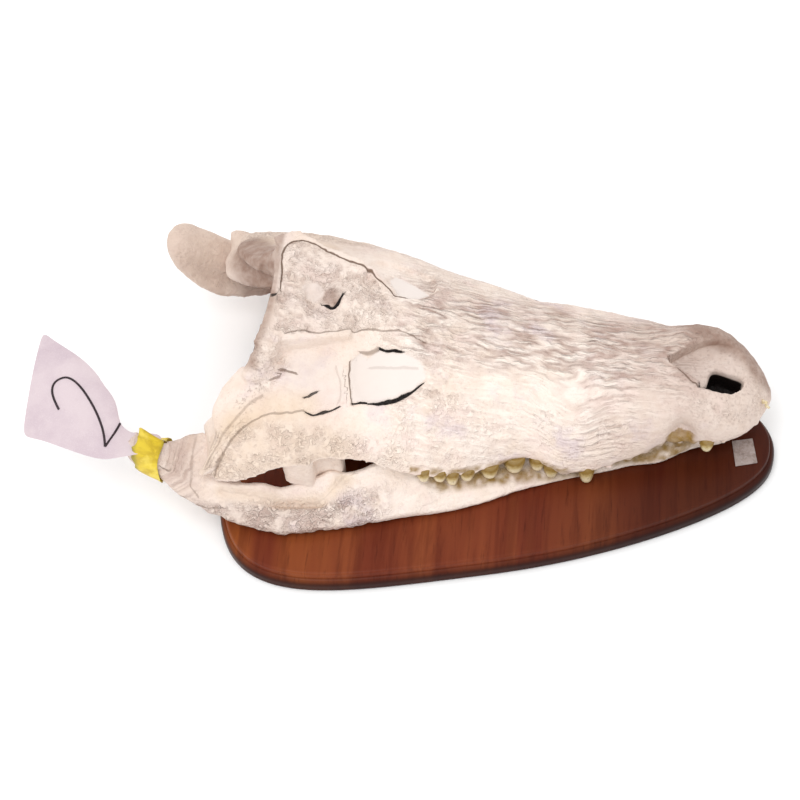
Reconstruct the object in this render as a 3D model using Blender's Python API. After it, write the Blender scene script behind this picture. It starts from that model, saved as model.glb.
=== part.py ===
"""A crocodile's skull with its lower jaw, lying closed on a moulded wooden board.

Skull measures are in millimetres: how far back from the tip of the snout, how far
to the side of the middle line, and how far up from the top of the board.
The model stands on the middle of the board's underside, +X to the snout, +Z up.
"""
import math

import bmesh
import bpy
from mathutils import Vector

MM = 0.001
GAP = 0.3                 # between pieces that touch

# The skull
JAW_LENGTH = 578.0        # snout tip to the end of the retroarticular process
TABLE_REAR = 462.0        # snout tip to the corners of the skull table
CUT_BEFORE_EYES = 300.0   # where the snout meets the brow and cheeks
TABLE_FRONT = 378.0
WALL_CLEARANCE = 4.0      # between that bone and the walls inside its openings
SHELL_THICKNESS = 11.0    # bone of the brow and cheeks, measured level and upright
SECTION_STEPS = 8         # points from the crown to the jaw's margin

# The board
BOARD_MIDDLE = 245.0      # back from the snout tip
BOARD_SIDE = 16.0         # how far its middle lies to the skull's right
BOARD_TURN = -4.1         # degrees: the skull is mounted a little askew
BOARD_HALF_LENGTH = 255.0
BOARD_HALF_WIDTH = 161.5
BOARD_TAPER = 73.0        # the half width lost from the middle to the snout end
BOARD_ROUNDNESS = (2.3, 3.8)  # of the snout end and the rear: 2 is an ellipse, more is squarer
BOARD_THICKNESS = 21.0

# The paper tag on the right side of the jaw
TAG_THICKNESS = 0.8
TAG_END = 670.0           # back from the snout tip
TAPE_THICKNESS = 1.2
TAPE_LIFT = 2.6           # room under the tape for the tag

BONE = ("bone", (0.86, 0.78, 0.68), 0.62)
WOOD = ("board_wood", (0.27, 0.10, 0.045), 0.28)
PALE_CARD = ("label_card", (0.52, 0.48, 0.46), 0.55)
PAPER = ("tag_paper", (0.82, 0.76, 0.79), 0.8)
TAPE = ("tag_tape", (0.72, 0.55, 0.14), 0.4)


def at(back, side, up):
    """A place on the skull as a point of the model, in metres."""
    return Vector(((BOARD_MIDDLE - back) * MM, (BOARD_SIDE + side) * MM, (BOARD_THICKNESS + up) * MM))


def curve(pairs):
    """A smooth curve through (distance back, value) pairs that never overshoots them."""
    places = [pair[0] for pair in pairs]
    values = [pair[1] for pair in pairs]
    steps = [(values[i + 1] - values[i]) / (places[i + 1] - places[i]) for i in range(len(pairs) - 1)]
    slopes = [steps[0]]
    for before, after in zip(steps, steps[1:]):
        slopes.append(2 * before * after / (before + after) if before * after > 0 else 0.0)
    slopes.append(steps[-1])

    def value(place):
        place = min(max(place, places[0]), places[-1])
        i = max(k for k in range(len(places) - 1) if places[k] <= place)
        width = places[i + 1] - places[i]
        t = (place - places[i]) / width
        return ((2 * t ** 3 - 3 * t ** 2 + 1) * values[i] + (t ** 3 - 2 * t ** 2 + t) * width * slopes[i]
                + (3 * t ** 2 - 2 * t ** 3) * values[i + 1] + (t ** 3 - t ** 2) * width * slopes[i + 1])
    return value


# Upper jaw: half width, height of its lower margin, depth of the notch for a lower tooth,
# height of its crown, fullness of its sides
upper_width = curve([(-1, 6), (6, 21), (14, 34), (25, 45), (50, 56), (66, 57), (81, 55), (96, 60), (120, 72),
                     (155, 83), (190, 85), (217, 82), (250, 95), (289, 107), (327, 117), (389, 125),
                     (440, 137), (482, 144), (505, 142), (514, 134)])
upper_margin = curve([(-1, 35), (25, 34), (50, 31), (66, 31), (81, 38), (96, 32), (120, 27), (155, 23),
                      (190, 28), (217, 38), (250, 41), (289, 46), (322, 59), (343, 68), (362, 74), (389, 78),
                      (415, 79), (440, 76), (465, 69), (482, 65), (505, 61), (514, 62)])
notch = curve([(64, 0), (72, 8), (81, 14), (89, 8), (98, 0)])
crown = curve([(-1, 39), (6, 51), (14, 61), (25, 68), (50, 79), (66, 83), (90, 85), (120, 85), (155, 88),
               (190, 93), (217, 98), (250, 105), (289, 115), (300, 119), (327, 129), (341, 134), (378, 149), (440, 156),
               (466, 150)])
fullness = curve([(-1, 0.6), (14, 0.64), (35, 0.84), (55, 0.92), (76, 0.92), (98, 0.7), (160, 0.58), (207, 0.6),
                  (289, 0.46), (327, 0.29), (350, 0.22), (389, 0.19), (466, 0.2)])
rear_edge = curve([(0, 466), (50, 471), (62, 478), (75, 489), (90, 498), (110, 507), (142, 513)])

# Skull table: half width and height at its edge
table_width = curve([(TABLE_FRONT, 40), (400, 44), (430, 52), (452, 58), (TABLE_REAR, 59)])
table_height = curve([(TABLE_FRONT, 149), (400, 152), (430, 157), (TABLE_REAR, 161)])

# Lower jaw: outer bulge, top edge, inner face, thickness of the upstanding plate outside its
# inner hollow, and the heights of its top and underside
jaw_outer = curve([(4, 10), (10, 22), (25, 34), (45, 40), (66, 42), (81, 45), (95, 52), (133, 68), (170, 80),
                   (207, 92), (244, 108), (289, 124), (335, 139), (380, 151), (435, 161), (473, 157),
                   (505, 152), (529, 146), (552, 140), (566, 136), (574, 129), (578, 120)])
jaw_edge = curve([(4, 6), (10, 17), (25, 28), (45, 34), (66, 37), (81, 34), (100, 42), (130, 54), (155, 63),
                  (190, 67), (217, 68), (244, 80), (289, 93), (327, 106), (380, 119), (415, 130), (455, 139),
                  (481, 142), (505, 141), (529, 138), (552, 134), (566, 130), (574, 124), (578, 116)])
jaw_inner = curve([(4, GAP / 2), (76, GAP / 2), (100, 20), (130, 38), (155, 47), (190, 51), (217, 53),
                   (244, 63), (289, 78), (327, 90), (380, 106), (435, 124), (468, 122), (490, 104),
                   (510, 88), (535, 86), (560, 91), (572, 97), (578, 104)])
jaw_top = curve([(4, 31), (25, 31), (66, 27), (81, 30), (100, 24), (130, 18), (155, 13), (190, 17), (217, 26),
                 (244, 29), (289, 35), (327, 48), (344, 52.5), (362, 51.5), (378, 52.5), (390, 59), (404, 60),
                 (419, 50), (433, 48.5), (455, 49.5), (476, 52), (497, 55), (505, 54), (520, 53), (532, 60),
                 (552, 74), (566, 82), (578, 84)])
jaw_plate = curve([(289, 60), (327, 26), (345, 9), (490, 9), (508, 40)])
jaw_under = curve([(4, 25), (10, 17), (25, 9), (45, 4), (66, 1.5), (100, GAP), (440, GAP), (473, 4), (490, 10),
                   (505, 18), (529, 37), (552, 50), (566, 57), (578, 68)])


def shade(thing, finish):
    """Give a piece its own material."""
    name, colour, roughness = finish
    material = bpy.data.materials.new(f"{thing.name}_{name}")
    material.use_nodes = True
    surface = material.node_tree.nodes["Principled BSDF"]
    surface.inputs["Base Color"].default_value = (*colour, 1.0)
    surface.inputs["Roughness"].default_value = roughness
    surface.inputs["Metallic"].default_value = 0.0
    thing.data.materials.clear()
    thing.data.materials.append(material)
    return thing


def make_object(name, mesh_tools, guide=False):
    """Turn a bmesh into an object with its faces pointing out."""
    bmesh.ops.recalc_face_normals(mesh_tools, faces=mesh_tools.faces)
    mesh = bpy.data.meshes.new(name)
    mesh_tools.to_mesh(mesh)
    mesh_tools.free()
    thing = bpy.data.objects.new(name, mesh)
    bpy.context.scene.collection.objects.link(thing)
    if guide:
        thing.hide_render = True
        thing.display_type = 'WIRE'
    return thing


def add_loft(tools, rings):
    """Bridge closed rings in order. Each ring is its top half and then its lower half backwards,
    so the ends close as strips between the two halves."""
    verts = [[tools.verts.new(point) for point in ring] for ring in rings]
    count = len(rings[0])
    half = count // 2
    for ring, following in zip(verts, verts[1:]):
        for i in range(count):
            j = (i + 1) % count
            tools.faces.new((ring[i], ring[j], following[j], following[i]))
    for ring in (verts[0], verts[-1]):
        for i in range(half - 1):
            tools.faces.new((ring[i], ring[i + 1], ring[count - 2 - i], ring[count - 1 - i]))


def loft(name, rings, guide=False):
    tools = bmesh.new()
    add_loft(tools, rings)
    return make_object(name, tools, guide)


def add_prism(tools, outline, low, high):
    floor = [tools.verts.new(at(back, side, low)) for back, side in outline]
    roof = [tools.verts.new(at(back, side, high)) for back, side in outline]
    for i in range(len(outline)):
        j = (i + 1) % len(outline)
        tools.faces.new((floor[i], floor[j], roof[j], roof[i]))
    tools.faces.new(floor)
    tools.faces.new(roof)


def prism(name, outline, low, high, guide=True):
    """An upright prism over an outline of (back, side) points."""
    tools = bmesh.new()
    add_prism(tools, outline, low, high)
    return make_object(name, tools, guide)


def combine(thing, operation, other, keep=False):
    """Apply a Boolean with another object, which is then removed unless it is kept."""
    modifier = thing.modifiers.new(operation.lower(), 'BOOLEAN')
    modifier.operation = operation
    modifier.solver = 'EXACT'
    modifier.object = other
    result = bpy.data.meshes.new_from_object(thing.evaluated_get(bpy.context.evaluated_depsgraph_get()))
    thing.modifiers.clear()
    thing.data = result
    if not keep:
        bpy.data.objects.remove(other)
    return thing


def mirrored(outline, side):
    """The outline for the right side (-1) or the left side (+1)."""
    return [(back, side * across) for back, across in outline]


def rounded(corners, steps=4):
    """An outline with its corners rounded by one quadratic arc at each."""
    points = []
    for before, corner, after in zip([corners[-1]] + corners[:-1], corners, corners[1:] + corners[:1]):
        start = [(before[k] + corner[k]) / 2 for k in (0, 1)]
        end = [(corner[k] + after[k]) / 2 for k in (0, 1)]
        for step in range(steps):
            t = step / steps
            points.append(tuple((1 - t) ** 2 * start[k] + 2 * t * (1 - t) * corner[k] + t ** 2 * end[k]
                                for k in (0, 1)))
    return points


def side_profile(width, margin, top, full, drawn_in=0.0):
    """Points from the crown down to the margin, on a cubic Bezier curve."""
    ends = ((0.0, top), (full * width, top), (width, margin + full * (top - margin)),
            (width - drawn_in, margin))
    points = []
    for step in range(SECTION_STEPS + 1):
        t = step / SECTION_STEPS
        weights = ((1 - t) ** 3, 3 * t * (1 - t) ** 2, 3 * t ** 2 * (1 - t), t ** 3)
        points.append(tuple(sum(weight * end[k] for weight, end in zip(weights, ends)) for k in (0, 1)))
    return points


def snout_ring(back):
    """The upper jaw before the eyes: a dome over a slightly arched palate."""
    width, margin = upper_width(back), upper_margin(back)
    top = side_profile(width, margin, crown(back), fullness(back), notch(back))
    top[-1] = (top[-1][0], margin + 0.3 * (top[-2][1] - margin))
    palate_rise = min(7.0, max(0.0, 0.3 * (crown(back) - margin) - 3.0))
    edge = 0.95 * top[-1][0]
    shares = [step / SECTION_STEPS for step in range(SECTION_STEPS + 1)]
    under = [(edge * share, margin + palate_rise * (1 - share ** 2)) for share in shares]
    ring = [at(back, -side, up) for side, up in reversed(top)] + [at(back, side, up) for side, up in top[1:]]
    ring += [at(back, side, up) for side, up in reversed(under)]
    ring += [at(back, -side, up) for side, up in under[1:]]
    return ring


def shell_ring(base):
    """The brow and cheeks: a shell of even thickness whose rear edge sweeps back at the sides."""
    sweep = max(0.0, (base - 376) / (466 - 376)) ** 1.5
    margin_back = base + sweep * (rear_edge(142) - 466)
    width = upper_width(margin_back)
    profile = side_profile(width, upper_margin(margin_back), crown(base), fullness(base))
    inner = side_profile(width - SHELL_THICKNESS, upper_margin(margin_back), crown(base) - SHELL_THICKNESS,
                         fullness(base))
    top, under = [], []
    for (side, up), (inner_side, inner_up) in zip(profile, inner):
        back = base + sweep * (rear_edge(side) - 466)
        top.append((back, side, up))
        under.append((back, inner_side, inner_up))
    ring = [at(b, -s, u) for b, s, u in reversed(top)] + [at(b, s, u) for b, s, u in top[1:]]
    ring += [at(b, s, u) for b, s, u in reversed(under)] + [at(b, -s, u) for b, s, u in under[1:]]
    return ring


# Openings, as corners of (back, side) for the left side
ORBIT = [(307, 52), (318, 24), (362, 20), (377, 38), (375, 80), (346, 82), (318, 74)]
TEMPORAL_OPENING = [(392, 36), (387, 80), (420, 88), (449, 73), (440, 36)]
NOSTRIL = [(97, -3), (97, 3), (62, 27), (38, 30), (25, 12), (25, -12), (38, -30), (62, -27)]
TABLE_HOLE = [(424, -14), (424, 16), (402, 22), (380, 14), (380, -12), (400, -20)]
CHEEK_SUTURE = [(408, 78), (420, 87), (447, 90), (468, 98), (487, 113), (501, 140), (522, 162)]
BROW_FRONT_CUT = [(298, 46), (313, 48)]
BROW_REAR_CUT = [(356, 56), (382, 41)]

# Teeth as (distance back, radius, length); those of the cheeks stand behind the snout's cut
UPPER_TEETH = [(14, 3.4, 9), (27, 4.2, 12), (42, 4.8, 14), (57, 4.6, 13), (69, 3.3, 9), (99, 3.4, 9),
               (112, 4.0, 10), (127, 4.6, 12), (145, 5.2, 14), (165, 6.2, 18), (184, 4.8, 12), (198, 4.4, 11),
               (212, 5.2, 12), (231, 5.6, 12), (251, 5.3, 12), (266, 4.8, 11), (279, 4.5, 10), (291, 4.2, 9),
               (306, 4.0, 9), (319, 3.6, 8)]
NOTCH_TOOTH = (81, 4.8)
TOOTH_SIDES = 6


def wall_outline(path, width=GAP):
    """The outline of a thin wall along a path, to part one bone from the next."""
    points = [Vector(point) for point in path]
    left, right = [], []
    for i, point in enumerate(points):
        ahead = points[min(i + 1, len(points) - 1)] - points[max(i - 1, 0)]
        across = Vector((-ahead.y, ahead.x)).normalized() * width / 2
        left.append(tuple(point + across))
        right.append(tuple(point - across))
    return left + right[::-1]


def add_tooth(tools, root, tip, radius):
    """A blunt cone from its root inside the jaw to its tip."""
    axis = (tip - root).normalized()
    across = axis.cross(Vector((1, 0, 0))).normalized()
    along = axis.cross(across)
    rings = []
    for share, breadth in ((0.0, 1.0), (0.68, 0.8)):
        middle = root.lerp(tip, share)
        rings.append([tools.verts.new(middle + radius * MM * breadth * (
            math.cos(turn) * across + math.sin(turn) * along))
            for turn in (2 * math.pi * k / TOOTH_SIDES for k in range(TOOTH_SIDES))])
    for ring, following in zip(rings, rings[1:]):
        for k in range(TOOTH_SIDES):
            m = (k + 1) % TOOTH_SIDES
            tools.faces.new((ring[k], ring[m], following[m], following[k]))
    end = tools.verts.new(tip)
    for k in range(TOOTH_SIDES):
        tools.faces.new((rings[-1][k], rings[-1][(k + 1) % TOOTH_SIDES], end))
    tools.faces.new(rings[0])


def upper_teeth(first, last):
    """The teeth of the upper jaw between two distances, leaning a little outwards."""
    tools = bmesh.new()
    for back, radius, length in UPPER_TEETH:
        if first <= back < last:
            for side in (-1, 1):
                across = upper_width(back) - radius - 0.6
                root = at(back, side * (across - 1.0), upper_margin(back) + 6)
                tip = at(back, side * (across + 0.22 * length), upper_margin(back) - length)
                add_tooth(tools, root, tip, radius)
    return make_object("upper_teeth", tools, guide=True)


def notch_tooth(side):
    """The large lower tooth that stands in the notch of the upper jaw."""
    back, radius = NOTCH_TOOTH
    tools = bmesh.new()
    add_tooth(tools, at(back, side * 41, 18), at(back - 1, side * 53, 49), radius)
    return make_object("notch_tooth", tools, guide=True)


def build_snout():
    """The upper jaw before the eyes, with its nostril and its teeth."""
    places = [-1, 1, 6, 14, 25, 38, 50, 66, 74, 81, 88, 96, 120, 137, 155, 172, 190, 217, 233, 250, 275,
              CUT_BEFORE_EYES]
    snout = loft("snout", [snout_ring(back) for back in places])
    combine(snout, 'UNION', upper_teeth(0, CUT_BEFORE_EYES - 6))
    combine(snout, 'DIFFERENCE', prism("nostril", rounded(NOSTRIL, 3), 42, 120))
    return shade(snout, BONE)


def table_ring(base):
    """The skull table: a slightly dished plate whose sides lean in under its edge."""
    dish, undercut, foot = 2.5, 5.0, 128.0
    width, height = table_width(base), table_height(base)
    share_back = (base - TABLE_FRONT) / (TABLE_REAR - TABLE_FRONT)
    top, under = [], []
    for step in range(-5, 6):
        share = step / 5
        back = base - 9 * share_back ** 2 * (1 - share ** 2)
        top.append(at(back, share * width, height - dish * (1 - share ** 2)))
        under.append(at(back, share * (width - undercut), foot))
    return top + under[::-1]


def build_table():
    """The skull table, with the hole that the photographed skull has in it."""
    places = [TABLE_FRONT, 389, 400, 412, 424, 436, 446, 455, TABLE_REAR]
    table = loft("skull_table", [table_ring(base) for base in places])
    combine(table, 'DIFFERENCE', prism("table_hole", rounded(TABLE_HOLE, 3), 110, 200))
    return shade(table, BONE)


def condyle_ring(back, side, up, half_width, half_height, hand):
    """One section of a quadrate: a rounded bar lying across the skull."""
    ring = []
    for step in range(10):
        turn = math.pi * (1 - step / 4.5) if step < 5 else -math.pi * (step - 5) / 4.5
        reach, lift = math.cos(turn) * half_width, math.sin(turn) * half_height
        ring.append(at(back + 0.12 * reach, hand * (side + reach), up + 0.04 * reach + lift))
    return ring


def build_shell():
    """Brow, cheeks and quadrates as one swept shell, before it is parted."""
    places = [CUT_BEFORE_EYES + GAP, 313, 327, 341, 355, 368, 378, 392, 406, 420, 434, 446, 457, 466]
    shell = loft("shell", [shell_ring(base) for base in places])
    combine(shell, 'UNION', upper_teeth(CUT_BEFORE_EYES, 350))
    for hand in (-1, 1):
        sections = [(462, 78, 92, 20, 10), (482, 92, 82, 26, 13), (500, 105, 74, 31, 14),
                    (512, 112, 70, 32, 12), (520, 114, 69, 28, 8)]
        combine(shell, 'UNION', loft("quadrate_end", [condyle_ring(*section, hand) for section in sections]))
    for hand in (-1, 1):
        opening = rounded(mirrored(TEMPORAL_OPENING, hand), 3)
        combine(shell, 'DIFFERENCE', prism("temporal_opening", opening, 0, 220))
    for hand in (-1, 1):
        combine(shell, 'DIFFERENCE', prism("orbit", rounded(mirrored(ORBIT, hand)), 0, 220))
    table_edge = [(back, table_width(back) + GAP) for back in (TABLE_FRONT - GAP, 400, 430, 452, 475)]
    outline = table_edge + [(back, -side) for back, side in reversed(table_edge)]
    combine(shell, 'DIFFERENCE', prism("table_space", outline, 90, 220))
    return shell


def islands(tools):
    """The faces of each separate body in a bmesh."""
    unseen = set(tools.faces)
    bodies = []
    while unseen:
        body, edge = set(), {next(iter(unseen))}
        while edge:
            body |= edge
            edge = {near for face in edge for vert in face.verts for near in vert.link_faces} - body
        unseen -= body
        bodies.append(body)
    return bodies


def part_shell(shell):
    """Part the shell along its sutures and name each bone by where it lies."""
    walls = bmesh.new()
    for hand in (-1, 1):
        for path in (BROW_FRONT_CUT, BROW_REAR_CUT, CHEEK_SUTURE):
            add_prism(walls, wall_outline(mirrored(path, hand)), 0, 220)
    combine(shell, 'DIFFERENCE', make_object("sutures", walls, guide=True))
    tools = bmesh.new()
    tools.from_mesh(shell.data)
    bpy.data.objects.remove(shell)
    for body in islands(tools):
        corners = {vert for face in body for vert in face.verts}
        middle = sum((vert.co for vert in corners), Vector()) / len(corners)
        back, side = BOARD_MIDDLE - middle.x / MM, middle.y / MM - BOARD_SIDE
        name = "brow"
        if abs(side) > 5:
            name = f"{'quadrate' if back > 455 else 'cheek'}_{'left' if side > 0 else 'right'}"
        piece = bmesh.new()
        places = {vert: piece.verts.new(vert.co) for vert in corners}
        for face in body:
            piece.faces.new([places[vert] for vert in face.verts])
        shade(make_object(name, piece), BONE)
    tools.free()


def shell_underside(back, side):
    """Height of the inner face of the brow and cheeks, leaving out their sweep."""
    profile = side_profile(upper_width(back) - SHELL_THICKNESS, upper_margin(back),
                           crown(back) - SHELL_THICKNESS, fullness(back))
    for (near, high), (far, low) in zip(profile, profile[1:]):
        if near <= side <= far:
            return high + (side - near) / (far - near) * (low - high)
    return profile[-1][1]


def build_braincase():
    """The braincase under the table, its sloping side walls, the rear plate and its condyle."""
    def ring(back, top_side, low_side, top=127.7, knee=None, low_knee=66.0, foot=58.0):
        wall_top = top_side + 3
        half = [(0, top), (top_side, top), (wall_top, knee or shell_underside(back, wall_top) - WALL_CLEARANCE)]
        for side in ((wall_top + low_side - 3) / 2, low_side - 3):
            slope = knee or shell_underside(back, side) - WALL_CLEARANCE
            half.append((side, slope))
        half.append((low_side, low_knee))
        under = [(0, foot), (low_side * 0.4, foot), (low_side * 0.7, foot), (low_side * 0.85, foot),
                 (low_side * 0.93, foot), (low_side * 0.97, foot)]
        points = [at(back, -side, up) for side, up in reversed(half)] + [at(back, s, u) for s, u in half[1:]]
        return points + [at(back, s, u) for s, u in reversed(under)] + [at(back, -s, u) for s, u in under[1:]]
    rings = [ring(380, 33, 80), ring(392, 35, 82), ring(410, 39, 83), ring(430, 44, 80), ring(441, 47, 74),
             ring(449, 48, 62, knee=100, low_knee=74), ring(455, 46, 52, knee=100, low_knee=80)]
    for back, radius in ((455.5, 15), (461, 15), (466, 13), (469, 8)):
        rings.append([at(back, side * radius, 92 + up * radius) for side, up in round_ring(11)])
    braincase = loft("braincase", rings)
    tools = bmesh.new()
    spinal = [[at(back, 8 * side, 116 + 7 * up) for side, up in round_ring(6)] for back in (444, 470)]
    add_loft(tools, spinal)
    combine(braincase, 'DIFFERENCE', make_object("spinal_opening", tools, guide=True))
    combine(braincase, 'DIFFERENCE', prism("table_hole_floor", rounded(TABLE_HOLE, 3), 112, 200))
    return shade(braincase, BONE)


def round_ring(count):
    """Unit circle points as a top half, left to right, and a lower half back, count points each."""
    top = [math.pi * (1 - (k + 0.5) / count) for k in range(count)]
    return [(math.cos(t), math.sin(t)) for t in top] + [(math.cos(t), -math.sin(t)) for t in reversed(top)]


def build_palate():
    """The palate behind the snout, its raised air passage, and the pterygoid wings."""
    def ring(back, ridge, floor, width, low, low_side):
        sides = [share * width for share in (0, 0.1, 0.2, 0.3, 0.62, 0.8, 1)]
        heights = [ridge, ridge, floor, floor, floor, floor, floor - 1]
        if ridge > floor + 5:
            sides = [0, 22, 28, 50, 71, 75, width]
            for i in (2, 3, 4):
                heights[i] = shell_underside(back, sides[i]) - WALL_CLEARANCE
        lows = [low, low, low, low, (low + low_side) / 2, low_side, low_side]
        half = list(zip(sides, heights))
        base = list(zip(sides, lows))
        top = [at(back, -side, up) for side, up in half[::-1]] + [at(back, side, up) for side, up in half[1:]]
        under = [at(back, side, up) for side, up in base[::-1]] + [at(back, -side, up) for side, up in base[1:]]
        return top + under
    sections = [(300.3, 92, 62, 86, 50, 52), (340, 98, 61, 90, 49, 51),
                (379.3, 98, 57, 88, 45, 46), (379.6, 56.5, 56, 88, 45, 46), (396, 56.5, 56, 88, 40, 42),
                (407, 56, 54, 103, 36, 20), (424, 55, 52, 107, 32, 12), (439, 54, 50, 106, 30, 13),
                (443, 53, 49, 100, 29, 18), (448, 51, 47, 56, 28, 30), (456, 50, 46, 30, 28, 32)]
    return shade(loft("palate", [ring(*section) for section in sections]), BONE)


def jaw_ring(back, side, grow=0.0):
    """One section of the lower jaw, grown outwards all round by so much."""
    outer, edge, inner = jaw_outer(back) + grow, jaw_edge(back) + grow, jaw_inner(back) - grow
    top, low = jaw_top(back) + grow, jaw_under(back) - grow
    height = top - low
    plate = max(inner, edge - jaw_plate(back))
    corner = min(4.0, 0.2 * (edge - plate))
    upper = [(plate, top - 0.25 * height if plate == inner else low + 0.45 * height),
             (plate + corner, top - 0.02 * height),
             ((plate + edge) / 2, top), (edge - corner, top), (edge, top - 0.1 * height),
             ((edge + outer) / 2 + 1.5, low + 0.55 * height), (outer, low + 0.26 * height)]
    lower = [(inner, low + 0.3 * height), (inner + 1, low + 0.06 * height), (inner + 0.2 * (outer - inner), low),
             ((inner + outer) / 2, low), (outer - 0.26 * (outer - inner), low),
             (outer - 0.1 * (outer - inner), low + 0.04 * height), (outer - 1, low + 0.13 * height)]
    return [at(back, side * across, up) for across, up in upper + lower[::-1]]


def build_jaw(side):
    """One half of the lower jaw, with the teeth that show."""
    name = "lower_jaw_left" if side > 0 else "lower_jaw_right"
    places = [4, 10, 18, 27, 45, 66, 81, 100, 130, 160, 190, 217, 236, 260, 289, 318, 345, 378, 397, 412,
              435, 455, 473, 490, 505, 520, 532, 545, 558, 568, 574, JAW_LENGTH]
    jaw = loft(name, [jaw_ring(back, side) for back in places])
    combine(jaw, 'UNION', notch_tooth(side))
    return shade(jaw, BONE)


def board_outline(inset, steps=40):
    """The board's rounded, tapering outline, drawn in by so much."""
    points = []
    turned = math.radians(BOARD_TURN)
    for step in range(steps):
        turn = 2 * math.pi * step / steps
        power = 2 / BOARD_ROUNDNESS[0 if math.cos(turn) > 0 else 1]
        along = math.copysign(abs(math.cos(turn)) ** power, math.cos(turn))
        across = math.copysign(abs(math.sin(turn)) ** power, math.sin(turn))
        x = (BOARD_HALF_LENGTH - inset) * along
        y = (BOARD_HALF_WIDTH - BOARD_TAPER * along - inset) * across
        points.append((x * math.cos(turned) - y * math.sin(turned), x * math.sin(turned) + y * math.cos(turned)))
    return points


def build_board():
    """The board: a flat top, a quirk, a rounded moulding and a square foot."""
    edge_steps = [(3.0, 0.0), (0.0, 1.5), (0.0, 7.0), (1.2, 9.5), (3.2, 11.8), (6.0, 13.2), (8.6, 14.0),
                  (9.2, 18.6), (10.0, 20.2), (11.6, BOARD_THICKNESS)]
    tools = bmesh.new()
    rings = [[tools.verts.new(Vector((x * MM, y * MM, up * MM))) for x, y in board_outline(inset)]
             for inset, up in edge_steps]
    count = len(rings[0])
    for ring, following in zip(rings, rings[1:]):
        for i in range(count):
            j = (i + 1) % count
            tools.faces.new((ring[i], ring[j], following[j], following[i]))
    tools.faces.new(rings[0])
    tools.faces.new(rings[-1])
    return shade(make_object("board", tools), WOOD)


def build_label():
    """A small bare label lying on the board beside the tip of the snout."""
    corners = [(27, -30), (12, -26), (6, -54), (22, -58)]
    return shade(prism("board_label", corners, GAP, GAP + 1.0, guide=False), PALE_CARD)


def build_tape():
    """A turn of tape round the right retroarticular process."""
    tools = bmesh.new()
    loops = []
    outside = TAPE_LIFT + TAPE_THICKNESS
    for back, grow in ((543, TAPE_LIFT), (556, TAPE_LIFT), (569, TAPE_LIFT), (569, outside), (556, outside),
                       (543, outside)):
        loops.append([tools.verts.new(point) for point in jaw_ring(back, -1, grow)])
    count = len(loops[0])
    for ring, following in zip(loops, loops[1:] + loops[:1]):
        for i in range(count):
            j = (i + 1) % count
            tools.faces.new((ring[i], ring[j], following[j], following[i]))
    return shade(make_object("tag_tape", tools), TAPE)


def build_tag():
    """The paper tag: held on the process by the tape, and fanning out behind it."""
    near_edge = curve([(546, -123), (575, -121), (593, -124), (622, -122), (657, -120), (TAG_END, -118)])
    far_edge = curve([(546, -101), (575, -100), (593, -84), (622, -56), (650, -28), (TAG_END, -12)])
    height = curve([(546, jaw_top(546) + 0.5), (560, jaw_top(560) + 0.5), (574, jaw_top(574) + 0.7),
                    (593, 88), (622, 88), (657, 86), (TAG_END, 84)])
    rings = []
    for back in (546, 553, 560, 567, 574, 583, 593, 607, 622, 637, 650, 661, TAG_END):
        near, far = near_edge(back), far_edge(back)
        lift = max(0.0, min(1.0, (back - 574) / 60))
        top, under = [], []
        for step in range(7):
            share = step / 6
            side = near + share * (far - near)
            up = height(back) + lift * (14 * share + 7 * math.sin(math.pi * share))
            top.append(at(back, side, up + TAG_THICKNESS))
            under.append(at(back, side, up))
        rings.append(top + under[::-1])
    return shade(loft("paper_tag", rings), PAPER)


def main():
    for thing in list(bpy.data.objects):
        bpy.data.objects.remove(thing)
    build_snout()
    part_shell(build_shell())
    build_table()
    build_braincase()
    build_palate()
    for side in (-1, 1):
        build_jaw(side)
    build_board()
    build_label()
    build_tape()
    build_tag()


main()
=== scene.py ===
import math
import bmesh
import bpy
import numpy as np
from mathutils import Matrix, Vector, noise
from mathutils.bvhtree import BVHTree


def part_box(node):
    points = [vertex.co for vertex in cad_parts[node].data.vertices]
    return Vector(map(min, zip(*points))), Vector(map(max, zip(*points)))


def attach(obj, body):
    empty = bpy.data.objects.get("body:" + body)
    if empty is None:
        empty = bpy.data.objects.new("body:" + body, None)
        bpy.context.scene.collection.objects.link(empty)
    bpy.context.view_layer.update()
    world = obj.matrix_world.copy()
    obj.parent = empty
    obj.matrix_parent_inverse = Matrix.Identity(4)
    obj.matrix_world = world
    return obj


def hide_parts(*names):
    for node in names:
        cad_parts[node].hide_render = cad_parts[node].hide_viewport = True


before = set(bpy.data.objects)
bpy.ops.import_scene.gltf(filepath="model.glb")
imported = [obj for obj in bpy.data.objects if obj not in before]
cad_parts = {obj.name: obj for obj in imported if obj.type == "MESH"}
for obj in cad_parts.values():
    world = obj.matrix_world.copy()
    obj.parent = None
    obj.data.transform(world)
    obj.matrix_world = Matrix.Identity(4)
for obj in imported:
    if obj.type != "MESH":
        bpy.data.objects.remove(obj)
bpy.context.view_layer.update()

outwards = bpy.ops.mesh.normals_make_consistent  # turns the selected faces' normals outwards
mm = 0.001
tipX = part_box("snout")[1].x - mm  # the tip of the snout, where distances back start
middleY = (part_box("skull_table")[0].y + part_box("skull_table")[1].y) / 2
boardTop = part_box("board")[1].z


def spot(back, side, up):  # a place on the skull, in millimetres, as a point of the scene
    return Vector((tipX - back * mm, middleY + side * mm, boardTop + up * mm))


def deselect():
    if bpy.context.object and bpy.context.object.mode != 'OBJECT':
        bpy.ops.object.mode_set(mode='OBJECT')
    bpy.ops.object.select_all(action='DESELECT')


def pick(*things):  # select these and make the first one active
    deselect()
    for thing in things:
        thing.select_set(True)
    bpy.context.view_layer.objects.active = things[0]
    return things[0]


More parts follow.
